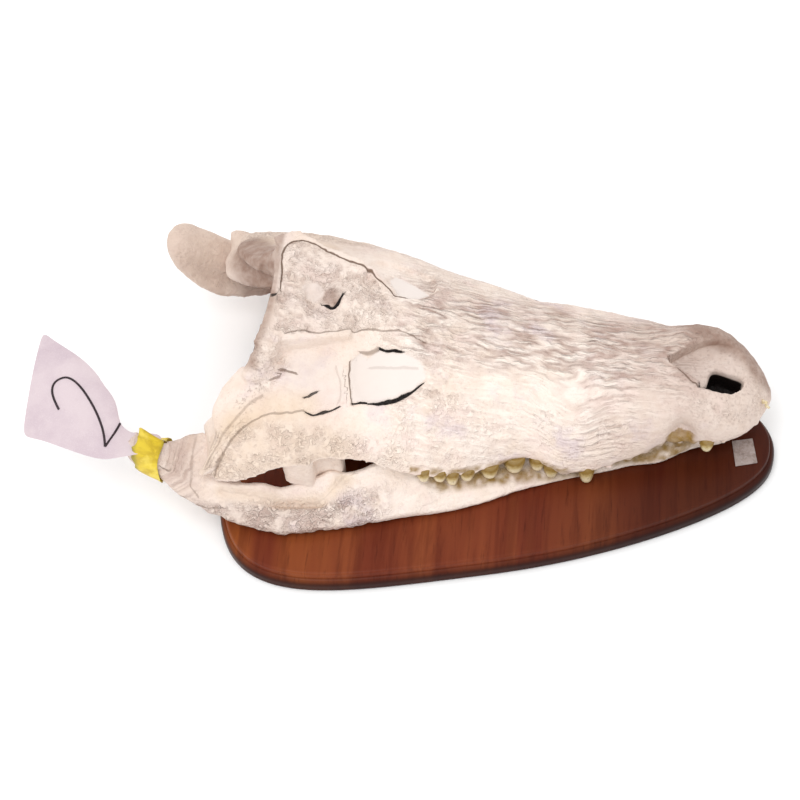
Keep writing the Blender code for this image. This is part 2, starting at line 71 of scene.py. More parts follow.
def bake(thing, kind, **settings):  # add a modifier and apply it
    pick(thing)
    modifier = thing.modifiers.new(kind.lower(), kind)
    for name, value in settings.items():
        setattr(modifier, name, value)
    bpy.ops.object.modifier_apply(modifier=modifier.name)
    return thing


def primitive(name, build, **settings):  # what an operator adds, under a name
    deselect()
    build(**settings)
    bpy.context.object.name = name
    return bpy.context.object


def added(name, data):  # a new object in the scene
    thing = bpy.data.objects.new(name, data)
    bpy.context.scene.collection.objects.link(thing)
    return thing


def edit(thing, *steps):  # run edit mode operators on the whole mesh
    pick(thing)
    bpy.ops.object.mode_set(mode='EDIT')
    bpy.ops.mesh.select_all(action='SELECT')
    for step in steps:
        step()
    bpy.ops.object.mode_set(mode='OBJECT')
    return thing


def copyNode(node, name):  # a CAD node's mesh as a new piece, merged and with its normals outwards
    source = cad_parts[node]
    mesh = source.data.copy()
    mesh.materials.clear()
    thing = pick(added(name, mesh))
    if mesh.has_custom_normals:
        bpy.ops.mesh.customdata_custom_splitnormals_clear()
    for layer in [layer.name for layer in mesh.uv_layers]:
        mesh.uv_layers.remove(mesh.uv_layers[layer])
    return edit(thing, lambda: bpy.ops.mesh.remove_doubles(threshold=0.00001), outwards)


def joined(name, *things):
    thing = pick(*things)
    bpy.ops.object.join()
    thing.name = name
    return thing


def coat(thing, paint, angle=None):  # smooth, or only below an angle, and in its material
    pick(thing)
    if angle is None:
        bpy.ops.object.shade_smooth()
    else:
        bpy.ops.object.shade_smooth_by_angle(angle=math.radians(angle))
    thing.data.materials.clear()
    thing.data.materials.append(paint.material)


def settle(thing, paint, nodes=(), angle=None):  # coat the finished piece and hang it on its body
    coat(thing, paint, angle)
    bpy.ops.object.transform_apply()
    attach(thing, "root")
    if nodes:
        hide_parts(*nodes)
    return thing


def readVectors(values, field):
    vectors = np.empty(len(values) * 3, np.float32)
    values.foreach_get(field, vectors)
    return vectors.reshape(-1, 3).astype(float)


def readPoints(thing):
    return readVectors(thing.data.vertices, "co")


def readNormals(thing):
    return readVectors(thing.data.vertex_normals, "vector")


def writePoints(thing, points):
    thing.data.vertices.foreach_set("co", points.astype(np.float32).ravel())
    thing.data.update()


def keepValue(thing, name, values):  # a number for each vertex, for the material to read
    layer = thing.data.attributes.new(name, 'FLOAT', 'POINT')
    layer.data.foreach_set("value", values.astype(np.float32))


def skullPlaces(points):  # distances back, to the side and up, in millimetres
    return ((tipX - points[:, 0]) / mm, (points[:, 1] - middleY) / mm, (points[:, 2] - boardTop) / mm)


class Wire:  # a socket of a material, so that sums on it become Math nodes
    def __init__(self, paint, socket):
        self.paint = paint
        self.socket = socket

    def math(self, operation, *values):
        return self.paint.node("ShaderNodeMath", {"operation": operation}, dict(enumerate((self, *values))))

    def __add__(self, other):
        return self.math('ADD', other)

    def __sub__(self, other):
        return self.math('SUBTRACT', other)

    def __mul__(self, other):
        return self.math('MULTIPLY', other)

    __radd__ = __add__
    __rmul__ = __mul__

    def __rsub__(self, other):
        return self.paint.node("ShaderNodeMath", {"operation": 'SUBTRACT'}, {0: other, 1: self})

    def __abs__(self):
        return self.math('ABSOLUTE')

    def out(self, name):  # another output of the same node
        return Wire(self.paint, self.socket.node.outputs[name])


class Paint:  # a material and its node tree
    def __init__(self, name):
        self.material = bpy.data.materials.new(name)
        self.material.use_nodes = True
        self.tree = self.material.node_tree
        self.surface = self.tree.nodes["Principled BSDF"]
        self.place = self.node("ShaderNodeTexCoord").out("Object")

    def node(self, kind, settings=None, values=None):  # any node: its settings first, then its sockets
        made = self.tree.nodes.new(kind)
        for name, value in (settings or {}).items():
            if name == "stops":
                ramp = made.color_ramp
                while len(ramp.elements) < len(value):
                    ramp.elements.new(0.5)
                for element, (position, colour) in zip(ramp.elements, value):
                    element.position = position
                    element.color = colour
            else:
                setattr(made, name, value)
        for name, value in (values or {}).items():
            self.feed(made.inputs[name], value)
        return Wire(self, next(socket for socket in made.outputs if socket.enabled))

    def feed(self, socket, value):
        if isinstance(value, Wire):
            self.tree.links.new(value.socket, socket)
        else:
            socket.default_value = value

    def set(self, **values):  # sockets of the surface, spaces written as underscores
        for name, value in values.items():
            self.feed(self.surface.inputs[name.replace("_", " ")], value)

    def noise(self, scale, detail=3, roughness=0.55, distortion=0, where=None):
        return self.node("ShaderNodeTexNoise", None,
                         {"Vector": where or self.place, "Scale": scale, "Detail": detail,
                          "Roughness": roughness, "Distortion": distortion})

    def cells(self, scale, where, feature='F1'):
        return self.node("ShaderNodeTexVoronoi", {"feature": feature}, {"Vector": where, "Scale": scale})

    def mapped(self, scale=(1, 1, 1), turn=(0, 0, 0), location=(0, 0, 0)):
        return self.node("ShaderNodeMapping", None, {"Vector": self.place, "Scale": scale, "Rotation": turn,
                                                     "Location": location})

    def value(self, name):  # a number kept on the mesh
        return self.node("ShaderNodeAttribute", {"attribute_name": name}).out("Fac")

    def rise(self, value, low, high):  # 0 below low and 1 above high, smoothly
        return self.node("ShaderNodeMapRange", {"interpolation_type": 'SMOOTHSTEP'},
                         {"Value": value, "From Min": low, "From Max": high})

    def blotches(self, low, high, scale, *details, where=None):  # soft patches of a noise
        return self.rise(self.noise(scale, *details, where=where), low, high)

    def layered(self, colour, *layers):  # each further layer is a colour and its share
        for layer, share in layers:
            mixed = self.node("ShaderNodeMix", {"data_type": 'RGBA'}, {0: share, 6: colour, 7: layer})
            colour = Wire(self, mixed.socket.node.outputs[2])
        return colour

    def ramp(self, value, *stops):
        return self.node("ShaderNodeValToRGB", {"stops": stops}, {"Fac": value})

    def bump(self, height, distance, strength):
        return self.node("ShaderNodeBump", None, {"Height": height, "Distance": distance, "Strength": strength})


def tone(red, green, blue):  # a colour as seen on a screen, 0 to 255, made linear
    return (*[(part / 255) ** 2.2 for part in (red, green, blue)], 1)


def slab(name, outline, low, high):  # an upright block over an outline of (back, side) places
    mesh = bpy.data.meshes.new(name)
    mesh.from_pydata([spot(back, side, low) for back, side in outline], [], [list(range(len(outline)))])
    lift = {"value": (0, 0, (high - low) * mm)}
    return edit(added(name, mesh), lambda: bpy.ops.mesh.extrude_region_move(TRANSFORM_OT_translate=lift),
                lambda: bpy.ops.mesh.select_all(action='SELECT'), outwards)


def lump(back, side, up, size, turn=None):  # a round knob of bone, or a block where a turn is given
    place = spot(back, side, up)
    if turn:
        thing = primitive("lump", bpy.ops.mesh.primitive_cube_add, location=place, rotation=turn)
    else:
        thing = primitive("lump", bpy.ops.mesh.primitive_ico_sphere_add, location=place, subdivisions=3)
    thing.scale = [part * mm for part in size]
    bpy.ops.object.transform_apply()
    return thing


def pull(points, pulls):  # soft pulls as (back, side, up, reach, then the shift back, to the side and up)
    for back, side, up, reach, *shift in pulls:
        away = np.linalg.norm(points - np.array(spot(back, side, up)), axis=1) / mm
        points += fade(away, 0, reach)[:, None] * np.array((-shift[0], shift[1], shift[2])) * mm
    return points


def soften(thing, weights, times):  # smooth only where the weights are high
    group = thing.vertex_groups.new(name="soft")
    for step in range(1, 11):
        picked = np.nonzero(np.round(weights * 10) == step)[0].tolist()
        if picked:
            group.add(picked, step / 10, 'REPLACE')
    bake(thing, 'SMOOTH', factor=0.5, iterations=times, vertex_group="soft")


def keepValues(thing, **values):  # the numbers that the bone material reads, nought where none is given
    nought = np.zeros(len(thing.data.vertices))
    for name in ("run", "lane", "smooth", "lilac", "stain", "grey", "shadow", "olive", "wrinkled", "beaded",
                 "pitted", "speckled", "lineGap", "lineShare", "slitGap", "slitShare", "dark"):
        keepValue(thing, name, values.get(name, nought))


def table(places, pairs):  # a value for each place, from pairs of a place and its value
    return np.interp(places, *zip(*pairs))


def offStretch(back, side, start, end):  # places seen from a straight stretch between two corners
    run = (end[0] - start[0], end[1] - start[1])
    length = max(math.hypot(*run), 1e-6)
    along = ((back - start[0]) * run[0] + (side - start[1]) * run[1]) / length ** 2
    held = np.clip(along, 0, 1)
    away = (back - start[0] - held * run[0], side - start[1] - held * run[1])
    hand = np.where(run[0] * away[1] - run[1] * away[0] > 0, 1, -1)
    return np.hypot(*away), hand, held, -along * length, (along - 1) * length


def nearPath(back, side, path):  # distance in millimetres from a line of (back, side) corners
    gaps = [offStretch(back, side, start, end)[0] for start, end in zip(path, path[1:])]
    return np.min(gaps, axis=0)


def signedGaps(back, side, lines):  # the nearest line's distance over its width, with a sign, and its share
    best = np.full(len(back), 1e9)
    gaps = np.full(len(back), 50.0)
    shares = np.zeros(len(back))
    wander = grain(np.stack([back, side, back * 0], axis=1), 9.0)
    back, side = back + 1.2 * wander, side - 1.6 * wander
    for path, strength, widths in lines:
        places = [(*place, width) for place, width in zip(path, np.broadcast_to(widths, len(path)))]
        for _ in range(2):  # round the corners off
            cuts = [tuple((1 - k) * a + k * b for a, b in zip(start, end))
                    for start, end in zip(places, places[1:]) for k in (0.25, 0.75)]
            places = [places[0], *cuts, places[-1]]
        for i, (start, end) in enumerate(zip(places, places[1:])):
            gap, hand, held, before, beyond = offStretch(back, side, start, end)
            width = (start[2] + held * (end[2] - start[2])) * (1 + 0.5 * wander)
            over = np.maximum(before if i == 0 else 0, beyond if i == len(places) - 2 else 0)
            nearer = gap < best
            best = np.where(nearer, gap, best)
            gaps = np.where(nearer, hand * gap / width, gaps)
            shares = np.where(nearer, strength * fade(gap, 3.5, 5.0) * fade(over, 0.2, 2.0), shares)
    return gaps, shares


def fade(distance, near, far):  # 1 within near, 0 past far
    share = np.clip((far - distance) / (far - near), 0, 1)
    return share * share * (3 - 2 * share)


def grain(points, size, seed=0.0):  # two octaves of noise about zero at each point, size in the points' unit
    offset = Vector((seed, seed * 1.7, -seed))
    return np.array([noise.fractal(Vector(point) / size + offset, 0.9, 2.1, 2,
                                   noise_basis='PERLIN_ORIGINAL') for point in points.tolist()])


def wiggles(back, side, up, long, across):  # thin furrows that wander along the snout
    heights = np.empty(len(back))
    for i, (b, s, u) in enumerate(zip(back.tolist(), side.tolist(), up.tolist())):
        wander = noise.noise(Vector((b / 34, s / 34, u / 34))) * 1.5
        heights[i] = noise.noise(Vector((b / long, s / across + wander, u / across - wander)))
    return heights


print("camera and light")
# the camera's axes are its right, its up and its back
cameraSet = {"lens": 84.59, "place": (0.0530, -1.0155, 1.4803), "axes": (
    (0.99527, 0.08778, -0.0416), (-0.04753, 0.81353, 0.57958), (0.08471, -0.57486, 0.81385))}
# the world's strength, then each light's place, power and size
lightSet = {"world": 1.08, "keyLight": ((-0.3, -0.65, 1.6), 6.5, 0.6),
            "fillLight": ((-1.3, -0.4, 1.0), 1.5, 1.2)}

camera = added("camera", bpy.data.cameras.new("camera"))
camera.data.sensor_width = 36
camera.data.lens = cameraSet["lens"]
camera.data.clip_end = 50
turned = Matrix(cameraSet["axes"]).transposed().to_4x4()
camera.matrix_world = Matrix.Translation(cameraSet["place"]) @ turned
bpy.context.scene.camera = camera
bpy.context.scene.view_settings.view_transform = 'Standard'


def softLight(name, place, power, size):
    light = bpy.data.lights.new(name, 'AREA')
    light.energy = power
    light.size = size
    thing = added(name, light)
    thing.location = place
    thing.rotation_euler = (Vector((0, 0, 0.05)) - Vector(place)).to_track_quat('-Z', 'Y').to_euler()


for light in ("keyLight", "fillLight"):
    softLight(light, *lightSet[light])
world = bpy.data.worlds.new("studio")
bpy.context.scene.world = world
world.use_nodes = True
background = world.node_tree.nodes["Background"]
background.inputs["Color"].default_value = (1, 1, 1, 1)
background.inputs["Strength"].default_value = lightSet["world"]

floor = primitive("floor", bpy.ops.mesh.primitive_plane_add, size=8, location=(0, 0, -0.0004))
floorPaint = Paint("paleFloor")
floorPaint.set(Base_Color=(1, 1, 1, 1), Roughness=0.9)
coat(floor, floorPaint)


print("bone material")
# the bone's colours: furrow is painted shade in creases and pits, shadow, hollow and grey are painted shade, white
# is partly painted light, and lilac, olive and dirt are partly painted shade
boneSet = {"pale": tone(245, 231, 220), "warm": tone(238, 216, 197), "rosy": tone(242, 219, 210),
           "lilac": tone(222, 206, 208), "shadedFurrow": tone(150, 118, 106), "shadow": tone(142, 114, 100),
           "dirtAndShade": tone(110, 86, 70), "hollow": tone(22, 12, 9), "stain": tone(226, 200, 166),
           "olive": tone(136, 104, 30), "grey": tone(196, 174, 162), "whiteAndLit": tone(224, 214, 208)}


def bonePaint(name, settings, seed=0.0):
    paint = Paint(name)
    where = paint.mapped(location=(seed, seed, 0))
    value = paint.value
    smooth = 1 - value("smooth")
    cloud = paint.blotches(0.4, 0.7, 60, 5, 0.65, where=where)
    colour = paint.layered(
        settings["pale"],
        (settings["warm"], (paint.blotches(0.35, 0.7, 15, 4, 0.6, where=where) * 0.4 + cloud * 0.25) * smooth),
        (settings["rosy"], paint.blotches(0.48, 0.7, 34, 3, where=where) * 0.6),
        # a lilac tint at random, stronger where the mesh asks: painted shade on the snout's far slope and the
        # jaw's rough underside
        (settings["lilac"], paint.blotches(0.5, 0.68, 27, 4, 0.6) * (0.2 + value("lilac") * 0.6)),
        # the smooth fills are whiter; on the nostril's shelf this is painted light
        (settings["whiteAndLit"], value("smooth") * 0.75),
        # stain is the bone's own colour; grey and shadow are painted shade, and olive is partly painted shade
        *[(settings[kind], value(kind) * (0.45 + paint.noise(120, 4, 0.6) * 0.8))
          for kind in ("stain", "grey", "shadow", "olive")])
    # furrows that run along the mesh's own lanes, drawn by a stretched and rippled noise, with painted shade in
    # their valleys
    ripple = paint.noise(62, 2, where=where)

    def strands(long, thin, sway, detail):
        lanes = paint.node("ShaderNodeCombineXYZ", None, {
            "X": value("run") * long, "Y": value("lane") * thin + ripple * sway, "Z": seed * 9})
        return abs(paint.noise(1, detail, 0.5, 0.1, where=lanes) - 0.5)

    wide = strands(0.026, 0.12, 1.3, 0.6)
    thin = strands(0.06, 0.2, 1.6, 1)
    share = value("wrinkled") * paint.blotches(0.25, 0.55, 20, 3, where=where)
    shadedFurrow = (1 - paint.rise(wide, 0, 0.13)) * share
    crease = (1 - paint.rise(thin, 0, 0.15)) * (0.08 + value("wrinkled") * 0.9) * smooth
    # beads, worm lines, pits and pores; the gaps between beads, the worm lines and the pits get painted shade
    worm = 1 - paint.rise(abs(paint.noise(165, 2, 0.6, 0.1, where=where) - 0.5), 0, 0.14)
    worm = worm * paint.blotches(0.32, 0.58, 50, 3, where=where)
    sand = paint.noise(330, 3, 0.7, where=where)
    shift = paint.node("ShaderNodeVectorMath", {"operation": 'SCALE'},
                       {0: paint.noise(80, 2).out("Color"), "Scale": 0.011})
    warped = paint.node("ShaderNodeVectorMath", {"operation": 'ADD'}, {0: where, 1: shift})
    edge = 1 - paint.rise(paint.cells(165, warped, 'SMOOTH_F1'), 0.1, 0.62)
    beads = (1 - edge) * value("beaded") * cloud + worm * (value("beaded") + value("pitted")) * 0.6
    pits = (1 - paint.rise(paint.cells(230, warped), 0.12, 0.5)) * value("pitted") * paint.blotches(
        0.35, 0.6, 70, 2, where=where)
    pores = (1 - paint.rise(paint.cells(430, warped), 0.1, 0.4)) * paint.blotches(0.5, 0.66, 55, 2)
    speckle = paint.blotches(0.54, 0.66, 330, 4, 0.7) * value("speckled")
    # dark lines in the dirt colour: sutures and grooves, and painted shade lines along overhanging and far edges
    sutureAndShadeLine = (1 - paint.rise(abs(value("lineGap")), 0.35, 1.3)) * value("lineShare")
    # black slits: painted shade in deep, narrow gaps under rims
    slit = (1 - paint.rise(abs(value("slitGap")), 0.7, 1.2)) * value("slitShare")
    # the last layers darken with dirt specks and lines, then paint the black of holes and slits as painted shade
    colour = paint.layered(colour, (settings["shadedFurrow"], shadedFurrow * 0.62 + crease * 0.16 + beads * 0.36 + pits * 0.2
                                    + paint.rise(sand, 0.5, 0.7) * 0.12 * smooth),
                           (settings["dirtAndShade"], pores * 0.16 * smooth + speckle * 0.5), (settings["dirtAndShade"], sutureAndShadeLine),
                           (settings["hollow"], value("dark").math('MAXIMUM', slit)))
    height = paint.rise(wide, 0, 0.24) * share * 1.9 - crease * 0.6 - beads * 1.2 - pits * 0.5
    height = height + (1 - sand) * 0.4 * smooth - sutureAndShadeLine * 0.6 - slit - speckle * 0.4
    height = height + paint.noise(140, 4, 0.6) * 0.5 * smooth
    paint.set(Base_Color=colour, Roughness=0.5 + paint.noise(90, 3) * 0.2 + shadedFurrow * 0.1,
              Specular_IOR_Level=0.35, Normal=paint.bump(height, 0.0017, 0.9))
    return paint


print("cranium")
craniumSet = {"nodes": ("snout", "brow", "skull_table", "cheek_left", "cheek_right", "quadrate_left",
                        "quadrate_right", "braincase", "palate"),
              "overlap": 0.00035, "voxel": 0.0021, "rounding": 5, "furrowDepth": 0.8, "nodule": 1.0,
              "patchThickness": 16, "cheekHang": 4.5, "toothDroop": 4.0, "toothFlare": (4, 6), "gapDroop": 7.0,
              "nostrilDepth": 10, "fillDepth": 1.6, "lineDepth": 0.9, "slitDepth": 2.6}
# the roof's heights: a row for each distance back, a number for each distance to the side
roofBacks = [310, 340, 370, 400, 430, 460, 480]
roofSides = [20, 40, 60, 80, 100]
roofUps = [[120, 113.5, 104, 92, 76], [129, 121, 112, 100, 87], [141, 132.5, 122, 110.5, 97],
           [147, 138, 128, 116, 103.5], [150, 142, 131.5, 120, 108], [146.5, 138, 129, 119, 107],
           [144, 134.5, 123, 115, 104]]
nearSocket = [
    (378, -52), (379, -61), (377, -72), (375, -84), (364, -82), (351, -79), (340, -74), (329, -69),
    (321, -63), (314, -56), (311, -50), (314, -42), (321, -36), (333, -33), (345, -35), (354, -36),
    (363, -45), (371, -43)]
farSocket = [
    (354, 51), (349, 62), (339, 59), (327, 52), (321, 46), (315, 41), (325, 30), (331, 29), (337, 27),
    (343, 24), (349, 36)]
# bone in the openings: its outline as (back, across) corners, its side and its depth under the roof
openingFills = [
    ([(312, 14), (312, 27), (328, 31), (350, 33), (362, 36), (376, 38), (376, 14)], -1, 0.8),
    ([(296, 26), (316, 26), (333, 28), (352, 30), (364, 33), (379, 36), (384, 90), (366, 92),
      (345, 90), (325, 84), (306, 74), (294, 56)], -1, 1.4),
    ([(304, 27), (376, 32), (378, 70), (372, 82), (330, 84), (312, 68)], 1, 5.0),
    ([(308, 16), (378, 16), (378, 33), (350, 30), (330, 28), (308, 30)], 1, 0.5),
    ([(386, 34), (448, 38), (452, 76), (438, 88), (424, 92), (410, 90), (386, 86)], -1, 1.6),
    ([(386, 30), (452, 34), (454, 78), (420, 92), (384, 84)], 1, 1.0)]
# the shelf in the nostril, the block and web between the jaws, and the floor of the table's hole
boneSlabs = [
    ("shelf", [(92, -8), (92, 4), (64, 29), (38, 31), (22, 12), (23, -9), (34, -4), (44, 0), (54, 3),
               (57, -2), (60, -13), (70, -29), (76, -20)], 36, 67),
    ("block", [(435, -106), (435, -127), (430, -130), (411, -132), (407, -129), (407, -106)], 43, 80),
    ("web", [(410, -100), (410, -119), (384, -116), (384, -100)], 30, 80),
    ("holeFloor", [(428, -18), (428, 18), (402, 26), (376, 16), (376, -14), (400, -24)], 116, 145.5)]
# knobs that fill out the table's corners, the necks of the quadrates, the notches and the hole
boneKnobs = [
    ((11, 9, 11), [(451, -56, 146), (457, -62, 137), (463, -69, 127)]),
    ((14, 13, 13), [(453, 54, 127), (463, 67, 115), (475, 81, 103)]),
    ((9, 8, 8), [(369, 36, 139), (361, 32, 132), (353, 28, 126)]),
    ((11, 13, 11), [(513, 112, 66)]),
    ((9, 6, 10), [(back, hand * across, up) for back, across, up in
                  ((87, 50, 31), (77, 48, 32), (79, 42, 36)) for hand in (-1, 1)]),
    ((8, 10, 8), [(416, 8, 143)])]
holeBlock = (399, 4, 142, (7, 9, 7), (0, 0.1, 0.2))


def roof(back, across):  # height of the outer face of the brow and cheeks
    rows = [np.interp(across, roofSides, row) for row in roofUps]
    return float(np.interp(back, roofBacks, rows))


def inside(back, side, outline):
    crossings = 0
    for (backA, sideA), (backB, sideB) in zip(outline, outline[1:] + outline[:1]):
        if (sideA > side) != (sideB > side):
            crossings += back < backA + (side - sideA) / (sideB - sideA) * (backB - backA)
    return crossings % 2 == 1


def within(back, side, outline):  # 1 inside the outline and 0 outside, soft over a millimetre
    backs, sides = zip(*outline)
    held = np.zeros(len(back))
    near = (back > min(backs)) * (back < max(backs)) * (side > min(sides)) * (side < max(sides))
    held[near] = [inside(b, a, outline) for b, a in zip(back[near].tolist(), side[near].tolist())]
    return held * (1 - fade(nearPath(back, side, outline + outline[:1]), 0, 1.5))


def patch(outline, hand, depth, thickness):  # a bone floor that follows the roof, a little below it
    low, high = np.min(outline, axis=0), np.max(outline, axis=0)
    counts = [int(count) for count in (high - low) / 2.2]
    thing = primitive("patch", bpy.ops.mesh.primitive_grid_add, x_subdivisions=counts[0],
                      y_subdivisions=counts[1])
    tools = bmesh.new()
    tools.from_mesh(thing.data)
    for vert in tools.verts:
        back, across = [(low[k] + high[k]) / 2 + vert.co[k] * (high[k] - low[k]) / 2 for k in (0, 1)]
        vert.co = (back, across, 0)
    outer = [face for face in tools.faces if not inside(*face.calc_center_median()[:2], outline)]
    bmesh.ops.delete(tools, geom=outer, context='FACES')
    for vert in tools.verts:
        back, across = vert.co[:2]
        vert.co = spot(back, hand * across, roof(back, across) - depth)
    tools.to_mesh(thing.data)
    tools.free()
    edit(thing, outwards)
    if sum(face.normal.z for face in thing.data.polygons) < 0:
        edit(thing, bpy.ops.mesh.flip_normals)
    return bake(thing, 'SOLIDIFY', thickness=thickness * mm, offset=-1)


# thin dark marks, sutures and grooves and also painted shade lines along the table's edges and in the orbit, as
# ((back, side) corners, strength, half width in millimetres), and black slits alike, painted shade in narrow gaps
marks = [
    ([(500, -142), (494, -139), (488, -128), (477, -115), (463, -105), (449, -99), (431, -98), (415, -95)],
     0.5, (1, 1.4, 1.2, 1, 0.9, 0.8, 0.8, 0.8)),
    ([(444, 1), (446, 20), (447, 34), (448, 45), (443, 57), (434, 62), (423, 60), (411, 54), (392, 46),
      (376, 41), (366, 36), (357, 32), (350, 28), (342, 22), (336, 24), (330, 28), (325, 27), (320, 33),
      (314, 40)], 0.95,
     (0.7, 0.7, 0.8, 1, 1, 0.9, 0.9, 1, 1, 1, 1.1, 1.1, 1.1, 1.2, 1.2, 1.2, 1.1, 0.9, 0.8)),
    ([(434, -45), (426, -42), (418, -40), (411, -42), (404, -40), (395, -37), (386, -34), (377, -29),
      (366, -23), (353, -21), (341, -17), (328, -17), (315, -22)], 0.6,
     (0.7, 0.8, 1, 1.1, 1, 0.8, 0.8, 0.7, 0.8, 0.9, 0.8, 0.7, 0.6)),
    ([(378, -52), (379, -61), (377, -72), (374, -84)], 0.8, 0.7),
    ([(440, -64), (432, -65), (425, -66)], 0.75, 1), ([(447, -73), (443, -71), (439, -69)], 0.6, 1.1),
    ([(391, -58), (386, -68), (384, -79), (387, -86)], 0.2, 0.8),
    ([(502, -138), (497, -125), (488, -113), (476, -102), (464, -90), (454, -86)], 0.35, 1.3),
    ([(507, -136), (505, -125), (495, -110)], 0.3, 1.4),
    ([(361, -53), (345, -49), (330, -46), (320, -45)], 0.2, 1.4),
    ([(371, -43), (363, -42), (355, -37)], 0.6, (0.7, 2.6, 1.6)),
    ([(311, -4), (276, 4), (225, 12), (176, 12), (131, 7), (92, 5)], 0.25, 0.8),
    ([(96, 2), (88, -8), (79, -20), (69, -28)], 0.8, 0.9)]
slits = [
    ([(374, -84), (364, -82), (351, -79), (340, -75), (329, -69), (321, -63), (313, -55)],
     1, (0.7, 0.8, 1.2, 1.7, 1.4, 0.8, 0.5)),
    ([(354, -36), (345, -35), (333, -33)], 1, (0.8, 1, 0.8)),
    ([(408, -4), (403, -7), (397, -8), (392, 0), (389, 11)], 1, (0.6, 1.1, 1.4, 1, 0.6)),
    ([(414, -96), (409, -97), (402, -96), (393, -92), (385, -88)], 0.95, (0.6, 0.9, 0.9, 0.8, 0.5)),
    ([(417, -85), (411, -81), (405, -78)], 0.85, (0.9, 1, 0.7)),
    ([(447, -1), (451, -5), (455, -6)], 0.9, (0.8, 1.8, 1))]
nostrilCorner = [(70, -29), (64, -29), (55, -30), (47, -30), (40, -26), (40, -22), (56, -19), (68, -21)]
tableOutline = [(446, -44), (448, 46), (443, 57), (434, 62), (423, 60), (411, 54), (392, 46), (376, 40), (350, 22),
                (330, 10), (330, -20), (366, -24), (396, -38), (430, -46)]
craniumPulls = [(457, 50, 152, 20, -9, 1, 0), (379, 33, 148, 20, -7, 6, 0), (528, -122, 80, 54, -22, 0, 0),
                (519, 122, 80, 30, -9, -3, -2)]
# tables by the distance back
tableBulge = [(372, 0), (380, 6), (392, 12), (411, 13), (423, 16), (435, 19), (443, 16), (450, 9), (458, 4)]
halfWidths = [(14, 34), (25, 45), (50, 56), (66, 57), (81, 55), (96, 60), (120, 72), (155, 83), (190, 88),
              (217, 83), (250, 98), (289, 111), (327, 120)]
margins = [(14, 34.5), (25, 34), (50, 31), (66, 31), (96, 32), (120, 27), (155, 19), (190, 18), (217, 32),
           (250, 33), (289, 39), (322, 53)]
cheekMargin = [(430, 77), (480, 65), (505, 60)]
toothLine = [(155, 23), (190, 28), (217, 38), (260, 43)]
toothFlare = [(150, 0), (188, 1), (208, 0.5), (231, 0.2), (255, 0.8), (300, 1), (335, 0.9), (368, 0)]
toothReach = [(0, 0), (20, 25), (60, 36), (330, 70)]
topUps = [(60, 80), (96, 86), (200, 92), (311, 121), (353, 134), (450, 155)]
oliveUps = [(60, 31), (100, 32), (155, 20), (190, 25), (217, 35), (289, 46), (330, 62)]


def shapeCranium(whole, settings):  # move the rough form's points to where the photo has them
    points = readPoints(whole)
    back, side, up = skullPlaces(points)
    across = abs(side)
    swell = table(back, tableBulge) * fade(132 - up, 0, 8) * np.clip((side + 20) / 55, 0, 1)
    hang = fade(abs(back - 466), 6, 30) * fade(up - table(back, cheekMargin), 2, 14) * (across > 112)
    droop = fade(abs(back - 205), 45, 75) * fade(up - table(back, toothLine), 3, 22)
    outer = fade(up - table(back, toothLine + [(330, 56)]), 3, 24) * table(back, toothFlare) * (across > 55)
    points[:, 1] += (swell + settings["toothFlare"][0] * outer * np.sign(side)) * mm
    points[:, 2] -= (settings["cheekHang"] * hang + settings["toothDroop"] * droop
                     + settings["toothFlare"][1] * outer) * mm
    # the CAD's teeth are pressed back to the margin, as the teeth are a piece of their own
    short = table(back, margins) - (points[:, 2] - boardTop) / mm
    stub = (back < 335) * (short > 0) * (across > table(back, toothReach))
    points[:, 2] += stub * short * mm
    gap = fade(abs(back - 368), 16, 40) * fade(up - 60, 2, 20) * (side < -80)
    nostril = within(back, side, nostrilCorner) * (up > 62)
    points[:, 2] -= (settings["gapDroop"] * gap + settings["nostrilDepth"] * nostril) * mm
    writePoints(whole, pull(points, craniumPulls))
    rearWall = fade(-back, -448, -436) * fade(across, 62, 80) * fade(up, 132, 146)
    tableCorner = fade(np.hypot(back - 370, side - 38), 5, 15)
    farQuadrate = fade(500 - back, 0, 14) * (side > 60)
    farNeck = fade(abs(side - 85), 26, 34) * fade(abs(back - 478), 16, 24) * (side > 0)
    farNeck *= fade(abs(side - 30), 80, 90) * 0.9
    soften(whole, rearWall + tableCorner + farQuadrate + farNeck, 24)
    return nostril


